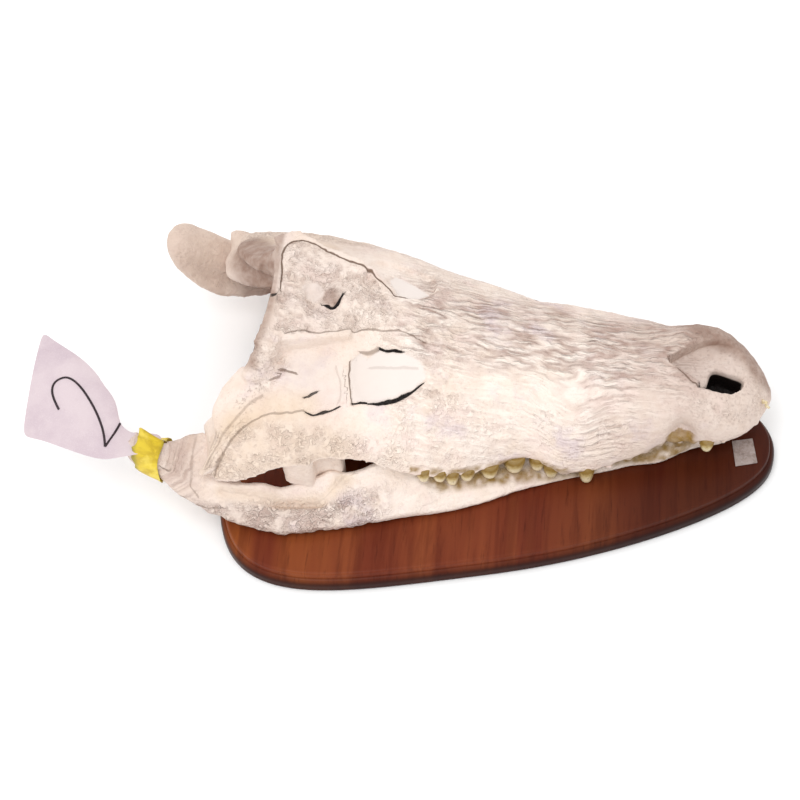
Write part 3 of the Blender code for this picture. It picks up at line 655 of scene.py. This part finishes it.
def detailCranium(whole, nostril, settings):  # fine relief, and what the material reads
    points = readPoints(whole)
    normals = readNormals(whole)
    back, side, up = skullPlaces(points)
    across = abs(side)
    upper = np.clip(normals[:, 2] * 1.6 + 0.25, 0, 1)
    # areas of texture
    slope = fade(abs(back - 200), 60, 110)
    jugal = fade(abs(back - 420), 70, 100) * fade(abs(across - 128), 14, 30) * (up < 108)
    tip = fade(back, 60, 110)
    wrinkled = fade(abs(back - 205), 110, 160) * (0.22 + 0.78 * fade(abs(side - 14), 24, 62)
                                                     + 0.3 * fade(np.hypot(back - 150, side + 62), 20, 50))
    wrinkled = np.clip(wrinkled, 0, 1) * upper
    beaded = within(back, side, tableOutline) * (up > 136) + 0.5 * fade(abs(back - 320), 20, 60) * fade(
        across, 60, 90) + 0.6 * fade(nearPath(back, side, [(452, -50), (452, -75), (440, -60)]), 6, 16)
    beaded = np.clip(beaded, 0, 1)
    pitted = np.clip(jugal + tip * 0.6 + 0.5 * (across > 60) * fade(abs(back - 230), 100, 130), 0, 1) * upper
    knots = grain(points, 0.0085, 3.0)
    lift = settings["nodule"] * knots * (0.25 + beaded + 0.5 * pitted + 0.4 * wrinkled)
    lift -= settings["furrowDepth"] * fade(abs(wiggles(back, side, up, 26, 7)), 0, 0.2) * wrinkled * 0.6
    lift += 1.4 * grain(points, 0.045, 8.0)
    # fillings of the openings are smooth and pale
    filled = (within(back, side, nearSocket) + within(back, side, farSocket)) * (up > 85)
    lift -= settings["fillDepth"] * filled
    rear = fade(nearPath(back, side, [(415, -66), (398, -70)]), 12, 26) * (side < -50)
    filled = np.clip(filled + 0.45 * rear, 0, 1)
    lift *= 1 - 0.85 * filled
    # marks and slits, only on faces that look up or outwards
    lowest = table(across, [(0, 96), (60, 84), (130, 50)]) * (back > 300)
    seen = (up > 52) * (up > lowest) * (normals[:, 2] > -0.25)
    seen = seen * (1 - (back > 442) * (across < 60) * (normals[:, 2] < 0.55))
    lineGap, lineShare = signedGaps(back, side, marks)
    slitGap, slitShare = signedGaps(back, side, slits)
    lineShare *= seen
    slitShare *= seen
    lift -= settings["lineDepth"] * fade(abs(lineGap), 0.5, 3) * lineShare
    lift -= settings["slitDepth"] * fade(abs(slitGap), 0.6, 1.6) * slitShare
    writePoints(whole, points + normals * (lift * mm)[:, None])
    # the nostril, its pit painted near black as painted shade, the lumps in the table's hole, with painted shade
    # on the block, and the shelf in the nostril, lightened as painted light, with painted shade on the bowl's
    # walls above it
    hole = (back > 28) * (back < 102) * (side > -29) * (side < 7) * (up < 61)
    block = fade(np.hypot(back - 399, side - 4), 7, 10) * (up > 120)
    dome = fade(np.hypot(back - 416, side - 8), 8, 10) * (up > 120)
    bowl = fade(np.hypot((back - 58) / 1.3, side - 8), 22, 30) * (up > 60) * (up < 84)
    # the shelf's top is whitened as painted light, where the rim shades it
    filled = np.clip(filled + 0.8 * dome + 0.6 * bowl * (up < 71), 0, 1)
    # the furrows' lanes spread down the side walls and round a knob on the near one
    lane = side + np.clip(side / 15, -1, 1) * 0.8 * np.maximum(table(back, topUps) - up, 0)
    lane += 18 * fade(np.hypot(back - 180, side + 64), 4, 46)
    speckled = 0.5 * fade(nearPath(back, side, [(455, -58), (459, -82), (470, -92)]), 3, 12) + 0.3 * tip * upper
    stain = (fade(nearPath(back, across, [(415, 90), (450, 94), (480, 106)]), 2, 18)
             + fade(nearPath(back, across, [(400, 128), (490, 128)]), 10, 50)) * 0.5 * upper
    # painted shade: grey on the snout's end and far side, and darker towards the rear
    grey = (0.7 * fade(back, 80, 190) + 0.15 * fade(-side, -30, 25) * fade(back, 260, 330)
            + 0.25 * fade(-side, -100, -60) + 0.42 * fade(-back, -400, -330))
    shadow = (fade(nearPath(back, side, [(462, 60), (480, 80), (492, 96)]), 10, 28) * (up < 138)
              + 0.7 * fade(450 - back, 0, 4) * (side > -4) * (side < 66) * (up > 120)
              + 0.8 * fade(nearPath(back, side, [(453, -8), (455, -30), (459, -52), (464, -66)]), 2, 11)
              * fade(118 - up, 0, 18)
              + 0.9 * fade(nearPath(back, side, [(66, 46), (30, 36), (6, 12)]), 9, 24)
              + 0.12 * fade(abs(side - 34), 8, 26) * slope + 0.65 * block + 0.5 * bowl * (up > 71))
    # olive along the tooth row and in the notch, partly the bone's own olive-brown and partly painted shade
    # between the teeth
    band = fade(abs(up - table(back, oliveUps)), 1.5, 5) * (back < 322) * (back > 60)
    olive = fade(np.hypot(back - 82, across - 50), 10, 17) * (up < 42) + band * np.clip(0.5 + knots, 0, 1)
    rough = {"wrinkled": wrinkled, "beaded": beaded, "pitted": pitted}
    # lilac is painted shade on the snout's far slope, and stronger along a band on the near side
    soft = {"speckled": speckled, "grey": grey, "shadow": shadow, "olive": olive,
            "lilac": fade(abs(side - 30), 20, 50) * slope + fade(abs(side + 70), 16, 30)}
    keepValues(whole, run=back, lane=lane, smooth=filled, lineGap=lineGap, lineShare=lineShare,
               slitGap=slitGap, slitShare=slitShare, stain=stain, dark=np.maximum(hole, nostril > 0.4),
               **{name: values * (1 - filled) for name, values in rough.items()},
               **{name: np.clip(values, 0, 1) for name, values in soft.items()})


def buildCranium(settings):
    whole = joined("cranium", *[copyNode(node, node + "Copy") for node in settings["nodes"]])
    bake(whole, 'DISPLACE', strength=settings["overlap"], mid_level=0)
    slabs = [slab(*row) for row in boneSlabs]
    patches = [patch(*row, settings["patchThickness"]) for row in openingFills]
    knobs = [lump(*place, size) for size, places in boneKnobs for place in places]
    whole = joined("cranium", whole, *slabs, *patches, *knobs, lump(*holeBlock))
    bake(whole, 'REMESH', mode='VOXEL', voxel_size=settings["voxel"])
    bake(whole, 'SMOOTH', factor=0.5, iterations=settings["rounding"])
    nostril = shapeCranium(whole, settings)
    detailCranium(whole, nostril, settings)
    print("cranium faces", len(whole.data.polygons))
    settle(whole, bonePaint("craniumBone", boneSet), settings["nodes"])


buildCranium(craniumSet)


print("lower jaw")
jawSet = {"voxel": 0.0018, "rounding": 6, "grooveDepth": 1.6, "slantDrop": 10, "tuskShare": 0.9}
jawPulls = {
    "lower_jaw_left": [(562, 118, 80, 48, -6, 4, 12), (524, 128, 62, 36, 0, 3, 10),
                       (506, 100, 28, 30, 0, 2, 8)],
    "lower_jaw_right": [(285, -98, 12, 60, 0, -6, 0), (378, -112, 58, 30, 0, -2, -8),
                        (508, -102, 62, 40, 0, 11, 13), (502, -92, 76, 36, 0, 8, 9),
                        (556, -104, 70, 38, 0, -9, 0), (95, -46, 4, 44, 0, -9, 0)]}
# the gum line's height by the distance back, and marks as ((back, up) corners, strength, half width)
gumUps = [(150, 6), (187, 8), (203, 11), (230, 15), (261, 21), (297, 25), (324, 41)]
jawGroove = [(490, 47), (465, 41), (434, 35), (402, 38), (380, 45)]
jawMarks = [
    (jawGroove, 0.12, 1.2),
    ([(545, 66), (537, 60), (532, 66)], 0.6, 0.8), ([(541, 48), (537, 44), (534, 38)], 0.6, 0.8),
    ([(530, 40), (520, 34), (505, 30), (490, 30)], 0.5, 0.8), ([(516, 70), (521, 55), (512, 40)], 0.4, 1.0)]


def pinched(points):  # the near jaw's end is drawn in under the tape
    middle = (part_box("tag_tape")[0].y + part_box("tag_tape")[1].y) / 2 - 0.002
    share = fade((points[:, 0] - tipX) / mm, -552, -526)
    points[:, 1] += 0.27 * share * (middle - points[:, 1])
    return points


def buildJaw(node, name, settings):
    jaw = copyNode(node, name)
    bake(jaw, 'REMESH', mode='VOXEL', voxel_size=settings["voxel"])
    bake(jaw, 'SMOOTH', factor=0.5, iterations=settings["rounding"])
    points = pull(readPoints(jaw), jawPulls[node])
    points = pinched(points) if node == "lower_jaw_right" else points
    writePoints(jaw, points)
    normals = readNormals(jaw)
    back, side, up = skullPlaces(points)
    across = abs(side)
    hand = np.sign(side.mean())
    outward = np.clip(normals[:, 1] * hand * 1.4 + 0.2, 0, 1)
    knots = grain(points, 0.009, 5.0)
    rough = fade(abs(back - 440), 70, 110) * fade(up, 26, 40) * outward
    lineGap, lineShare = signedGaps(back, up, jawMarks)
    groove = nearPath(back, up, jawGroove)
    lift = 1.2 * grain(points, 0.04, 2.0) + knots * (0.35 + 1.1 * rough)
    lift -= settings["grooveDepth"] * fade(groove, 1, 6) * outward
    # the lower edge rises at the corner, and the large front tooth is pressed back into the notch
    slant = fade(abs(back - 422), 16, 34) * (across > 105) * fade(36 - up, 0, 8)
    tusk = (back > 70) * (back < 94) * (up > 27)
    points[:, 2] -= (settings["slantDrop"] * slant + tusk * (up - 27) * settings["tuskShare"]) * mm
    writePoints(jaw, points + normals * (lift * mm)[:, None])
    near, far = hand < 0, hand > 0
    process = fade(-back, -530, -496)
    beyond = np.maximum(back - 480, 0)
    gum = fade(abs(back - 240), 72, 92) * fade(abs(up - table(back, gumUps) - 2), 3, 8) * (across > 70)
    notch = fade(abs(back - 108), 34, 50) * fade(abs(up - 16), 6, 12)
    soft = {"wrinkled": 0.5 * near * process + 0.15 * fade(back, 300, 360), "pitted": rough + 0.25,
            # grey is painted shade on the process, the rough lower part, the far jaw and towards the rear
            "grey": process * 0.3 + 0.2 * rough + 0.15 * far + 0.4 * fade(-back, -460, -360),
            # olive along the gum line and in the notch, partly painted shade between the teeth
            "olive": gum * (0.8 + knots) + notch * (0.9 + knots)}
    # lilac on the rough lower part is painted shade
    keepValues(jaw, run=np.minimum(back, 480) + up * np.clip(beyond / 30, 0, 1), lane=up + 0.6 * beyond,
               beaded=rough * 0.7, lilac=rough, speckled=0.2 * rough, lineGap=lineGap,
               lineShare=lineShare * outward * near,
               stain=0.45 * fade(groove, 2, 12) * outward + 0.5 * process * far,
               **{name: np.clip(values, 0, 1) for name, values in soft.items()})
    print(name, "faces", len(jaw.data.polygons))
    settle(jaw, bonePaint(name + "Bone", boneSet, 0.3 * hand), [node])


buildJaw("lower_jaw_left", "lowerJawLeft", jawSet)
buildJaw("lower_jaw_right", "lowerJawRight", jawSet)


print("teeth")
toothSet = {"sides": 10, "taper": 0.62, "belly": 0.22, "bend": 0.1, "swell": 1.65, "longer": 2.5,
            "nearGaps": (14, 27, 42, 69, 99, 112, 127, 145)}
# each upper tooth's distance back, radius and length, then the two tips at the snout's end
toothRows = [
    (14, 3.0, 3), (27, 3.4, 3), (42, 3.8, 4), (57, 4.2, 8), (69, 3.3, 4), (99, 3.4, 5), (112, 4.0, 5),
    (127, 4.4, 6), (145, 4.6, 6), (165, 4.6, 13), (197, 4.6, 9), (210, 4.8, 9), (231, 6.2, 11),
    (253, 5.4, 9), (273, 4.8, 8), (286, 4.2, 10), (297, 4.4, 7), (311, 4.4, 8)]
toothTips = [((12, -14, 46), (5, -22, 53), 2.4), ((9, -14, 44), (1, -20, 42), 1.8)]


def buildTooth(root, tip, radius, settings):  # a blunt, slightly curved cone
    axis = tip - root
    tooth = primitive("tooth", bpy.ops.mesh.primitive_cone_add, vertices=settings["sides"],
                      radius1=radius, radius2=radius * settings["taper"], depth=axis.length)
    edit(tooth, bpy.ops.mesh.subdivide)
    bake(tooth, 'BEVEL', width=radius * 0.16, segments=2, limit_method='ANGLE', angle_limit=math.radians(40))
    bake(tooth, 'SUBSURF', levels=1, render_levels=1)
    points = readPoints(tooth)
    share = points[:, 2] / axis.length + 0.5
    belly = 1 + settings["belly"] * np.sin(np.clip(share, 0, 1) * math.pi)
    points[:, 0] *= belly
    points[:, 1] *= belly * 0.92
    points[:, 0] += settings["bend"] * axis.length * (share - 0.5) ** 2
    turned = axis.to_track_quat('Z', 'Y').to_matrix()
    points = points @ np.array(turned.transposed()) + np.array((root + tip) / 2)
    writePoints(tooth, points)
    keepValue(tooth, "share", share)
    keepValue(tooth, "flank", abs(readNormals(tooth)[:, 0]))
    return tooth


def toothPaint():
    paint = Paint("toothEnamel")
    share = paint.value("share")
    mottle = paint.noise(240, 4)
    colour = paint.ramp(share + (mottle - 0.5) * 0.3, (0.3, tone(140, 112, 56)), (0.5, tone(196, 174, 122)),
                        (0.75, tone(232, 218, 184)), (1.0, tone(216, 196, 152)))
    # flanks that face the neighbouring teeth are darkened, painted shade between the teeth
    colour = paint.layered(colour, (tone(138, 108, 48), paint.rise(paint.value("flank"), 0.45, 0.95) * 0.8),
                           (tone(96, 74, 34), paint.blotches(0.56, 0.7, 420, 3) * 0.4))
    paint.set(Base_Color=colour, Roughness=0.24 + mottle * 0.2, Coat_Weight=0.25,
              Normal=paint.bump(paint.noise(160, 4, where=paint.mapped(scale=(4, 4, 0.6))), 0.0006, 0.5))
    return paint


def buildTeeth(settings):
    teeth = []
    for back, radius, length in toothRows:
        for hand in (-1, 1):
            if hand < 0 and back in settings["nearGaps"]:
                continue
            across = table(back, halfWidths) - radius - 0.6
            margin = table(back, margins)
            root = spot(back, hand * (across - 1.0), margin + 5)
            tip = spot(back, hand * (across + 0.3 * length), margin - length - settings["longer"])
            teeth.append(buildTooth(root, tip, radius * settings["swell"] * mm, settings))
    teeth += [buildTooth(spot(*root), spot(*tip), radius * mm, settings) for root, tip, radius in toothTips]
    settle(joined("teeth", *teeth), toothPaint())


buildTeeth(toothSet)


print("board")
boardSet = {"halfLength": 255.0, "halfWidth": 161.5, "taper": 73.0, "roundness": (2.3, 3.8), "turn": -4.1,
            "farShare": 0.965, "corners": 192, "footRise": 1.5, "footInset": 3.0, "edgeRise": 5.5,
            "moulding": (4.6, 7.0), "quirk": (0.6, 4.6), "topBead": (2.4, 2.4)}


def buildBoard(settings):
    board = primitive("mountBoard", bpy.ops.mesh.primitive_circle_add, vertices=settings["corners"],
                      fill_type='NGON')
    points = []
    for step in range(settings["corners"]):
        turn = 2 * math.pi * step / settings["corners"]
        power = 2 / settings["roundness"][0 if math.cos(turn) > 0 else 1]
        forward = math.copysign(abs(math.cos(turn)) ** power, math.cos(turn))
        sideways = math.copysign(abs(math.sin(turn)) ** power, math.sin(turn))
        width = (settings["halfWidth"] - settings["taper"] * forward) * sideways
        width *= settings["farShare"] if sideways > 0 else 1
        points.append((settings["halfLength"] * forward, width, settings["footRise"]))
    points = np.array(points) * mm
    angle = math.radians(settings["turn"])
    turned = np.array(((math.cos(angle), math.sin(angle), 0), (-math.sin(angle), math.cos(angle), 0), (0, 0, 1)))
    writePoints(board, points @ turned)

    def step(breadth, rise):  # draw the selected face in and lift it
        bpy.ops.mesh.inset(thickness=breadth * mm, depth=rise * mm)

    def rounded(turns, breadth, rise):  # a quarter round in steps
        for low, high in zip(turns, turns[1:]):
            step(breadth * (math.cos(low) - math.cos(high)), rise * (math.sin(high) - math.sin(low)))

    turns = [math.pi / 2 * k / 7 for k in range(8)]
    edge = {"value": (0, 0, settings["edgeRise"] * mm)}
    edit(board, lambda: bpy.ops.mesh.extrude_region_move(TRANSFORM_OT_translate=edge),
         lambda: rounded(turns, *settings["moulding"]), lambda: step(*settings["quirk"]),
         lambda: rounded(turns[::2] + turns[-1:], *settings["topBead"]))
    tools = bmesh.new()
    tools.from_mesh(board.data)
    for face in tools.faces:
        face.select = face.normal.z < -0.9
    tools.to_mesh(board.data)
    tools.free()
    pick(board)
    bpy.ops.object.mode_set(mode='EDIT')
    bpy.ops.mesh.select_mode(type='FACE')
    step(settings["footInset"], settings["footRise"])
    bpy.ops.mesh.select_all(action='SELECT')
    outwards()
    bpy.ops.object.mode_set(mode='OBJECT')
    settle(board, woodPaint(settings), ["board"], 32)


def woodPaint(settings):
    paint = Paint("stainedWood")
    grainWay = paint.mapped(turn=(0, 0, math.radians(settings["turn"])), scale=(1, 0.07, 0.3))
    warp = paint.noise(3.2, 3, 0.6, where=paint.mapped(scale=(1, 0.4, 1)))
    streak = paint.noise(95, 5, 0.6, 0.4, where=grainWay)
    fine = paint.noise(420, 4, 0.65, where=grainWay)
    band = paint.rise(paint.noise(16, 3, 0.6, 0.6, where=grainWay) + warp * 0.2 - 0.1, 0.32, 0.72)
    split = paint.node("ShaderNodeSeparateXYZ", None, {"Vector": paint.place})
    # lighter towards the left and darker towards the right, painted light and shade from the light's fall-off
    litLeft = 1 - paint.rise(split.out("X"), -0.25, -0.09)
    shadedRight = paint.rise(split.out("X"), -0.02, 0.2)
    edge = 1 - paint.rise(split.out("Z"), 0.009, 0.0165)
    colour = paint.layered(tone(104, 46, 30), (tone(144, 78, 46), band * 0.7),
                           (tone(168, 96, 42), litLeft * band * 0.55),
                           (tone(64, 20, 10), paint.rise(streak, 0.45, 0.66) * 0.35),
                           (tone(44, 12, 7), shadedRight * 0.8),
                           (tone(40, 12, 8), paint.rise(fine, 0.55, 0.72) * 0.35), (tone(30, 8, 6), edge * 0.85))
    paint.set(Base_Color=colour, Roughness=0.26 + fine * 0.14 + paint.noise(40, 3) * 0.06,
              Specular_IOR_Level=0.12, Normal=paint.bump(streak * 0.4 + fine * 0.35, 0.0002, 0.4))
    return paint


buildBoard(boardSet)


print("label and tag")
labelSet = {"corners": [(31, -30), (12, -26), (8, -53), (28, -58)], "low": 0.3, "high": 1.3,
            "rounding": 0.0003}


def buildLabel(settings):
    label = slab("label", settings["corners"], settings["low"], settings["high"])
    bake(label, 'BEVEL', width=settings["rounding"], segments=2)
    edit(label, lambda: bpy.ops.mesh.subdivide(number_cuts=3))
    paint = Paint("agedCard")
    blot = paint.noise(110, 5, 0.7)
    speck = paint.blotches(0.52, 0.66, 520, 4, 0.7)
    colour = paint.layered(tone(158, 144, 138), (tone(126, 110, 104), paint.rise(blot, 0.38, 0.66)),
                           (tone(186, 176, 172), speck * 0.45),
                           (tone(98, 82, 78), paint.blotches(0.6, 0.7, 300, 3) * 0.4))
    paint.set(Base_Color=colour, Roughness=0.5 + blot * 0.2, Normal=paint.bump(blot + speck * 0.3, 0.0003, 0.4))
    settle(label, paint, ["board_label"], 30)


buildLabel(labelSet)


def copyQuads(node, name, levels):  # a CAD node's copy, its triangles joined in pairs and then subdivided
    thing = edit(copyNode(node, name), lambda: bpy.ops.mesh.tris_convert_to_quads(
        face_threshold=math.radians(60), shape_threshold=math.radians(80)))
    return bake(thing, 'SUBSURF', levels=levels, render_levels=levels)


tagSet = {"levels": 2, "pulls": [(592, -124, 90, 62, 0, -17, -3), (640, -120, 92, 50, 0, -6, 0),
                                 (618, -62, 90, 60, -2, 9, 0), (596, -86, 88, 26, -3, 3, 0)]}


def buildTag(settings):
    tag = copyQuads("paper_tag", "paperTag", settings["levels"])
    writePoints(tag, pull(readPoints(tag), settings["pulls"]))
    paint = Paint("linedPaper")
    fibre = paint.noise(900, 4, 0.7)
    cloud = paint.blotches(0.35, 0.7, 22, 4, 0.6)
    colour = paint.layered(tone(206, 190, 194), (tone(190, 172, 180), cloud),
                           (tone(216, 204, 208), paint.rise(fibre, 0.5, 0.66) * 0.4),
                           (tone(172, 148, 152), paint.blotches(0.6, 0.75, 60, 5, 0.7) * 0.3))
    paint.set(Base_Color=colour, Roughness=0.82, Normal=paint.bump(fibre * 0.4 + cloud, 0.0003, 0.35))
    return settle(tag, paint, ["paper_tag"], 50)


tag = buildTag(tagSet)

tapeSet = {"levels": 2, "pulls": [(552, -140, 66, 40, 4, 0, 1)], "crumple": 0.5, "middle": -0.311}


def buildTape(settings):
    tape = copyQuads("tag_tape", "tagTape", settings["levels"])
    points = pinched(pull(readPoints(tape), settings["pulls"]))
    normals = readNormals(tape)
    points += normals * (settings["crumple"] * mm * grain(points, 0.012, 4.0))[:, None]
    writePoints(tape, points)
    paint = Paint("yellowTape")
    crease = paint.noise(120, 4, 0.6, 0.8, where=paint.mapped(scale=(0.4, 1, 1)))
    forward = paint.node("ShaderNodeSeparateXYZ", None, {"Vector": paint.place}).out("X")
    # the tape's rims, where it turns under, are darkened as painted shade
    shadedRims = paint.rise(abs(forward - settings["middle"]), 0.0075, 0.0128)
    colour = paint.layered(tone(218, 190, 40), (tone(190, 160, 24), paint.rise(crease, 0.35, 0.65)),
                           (tone(138, 128, 40), shadedRims * 0.8),
                           (tone(236, 214, 92), paint.blotches(0.55, 0.7, 70, 3) * 0.5))
    paint.set(Base_Color=colour, Roughness=0.3 + crease * 0.2, Coat_Weight=0.2,
              Normal=paint.bump(crease, 0.0007, 0.5))
    settle(tape, paint, ["tag_tape"], 40)


buildTape(tapeSet)

inkSet = {"strokes": [[(638, -98), (644, -89), (648, -79), (647, -71), (640, -66), (633, -66), (623, -73),
                       (612, -86), (602, -101), (594, -118), (592, -129)],
                      [(592, -129), (586, -115), (583, -103)]], "radius": 1.1}


def buildInk(tag, settings):
    tree = BVHTree.FromObject(tag, bpy.context.evaluated_depsgraph_get())
    lines = []
    for stroke in settings["strokes"]:
        line = primitive("inkStroke", bpy.ops.curve.primitive_nurbs_path_add)
        spline = line.data.splines[0]
        if len(stroke) > len(spline.points):
            spline.points.add(len(stroke) - len(spline.points))
        for point, (back, side) in zip(spline.points, stroke + [stroke[-1]] * 5):
            hit = tree.ray_cast(spot(back, side, 200), Vector((0, 0, -1)))[0] or spot(back, side, 90)
            point.co = (*hit, 1)
        spline.order_u = 3
        spline.resolution_u = 4
        spline.use_endpoint_u = True
        line.data.bevel_depth = settings["radius"] * mm
        line.data.bevel_resolution = 2
        line.data.use_fill_caps = True
        bpy.ops.object.convert(target='MESH')
        lines.append(bpy.context.object)
    ink = joined("ink", *lines)
    paint = Paint("penInk")
    soak = paint.noise(300, 4, 0.6)
    paint.set(Base_Color=paint.layered(tone(34, 20, 26), (tone(64, 44, 52), paint.rise(soak, 0.45, 0.7))),
              Roughness=0.55 + soak * 0.2)
    settle(ink, paint)


buildInk(tag, inkSet)
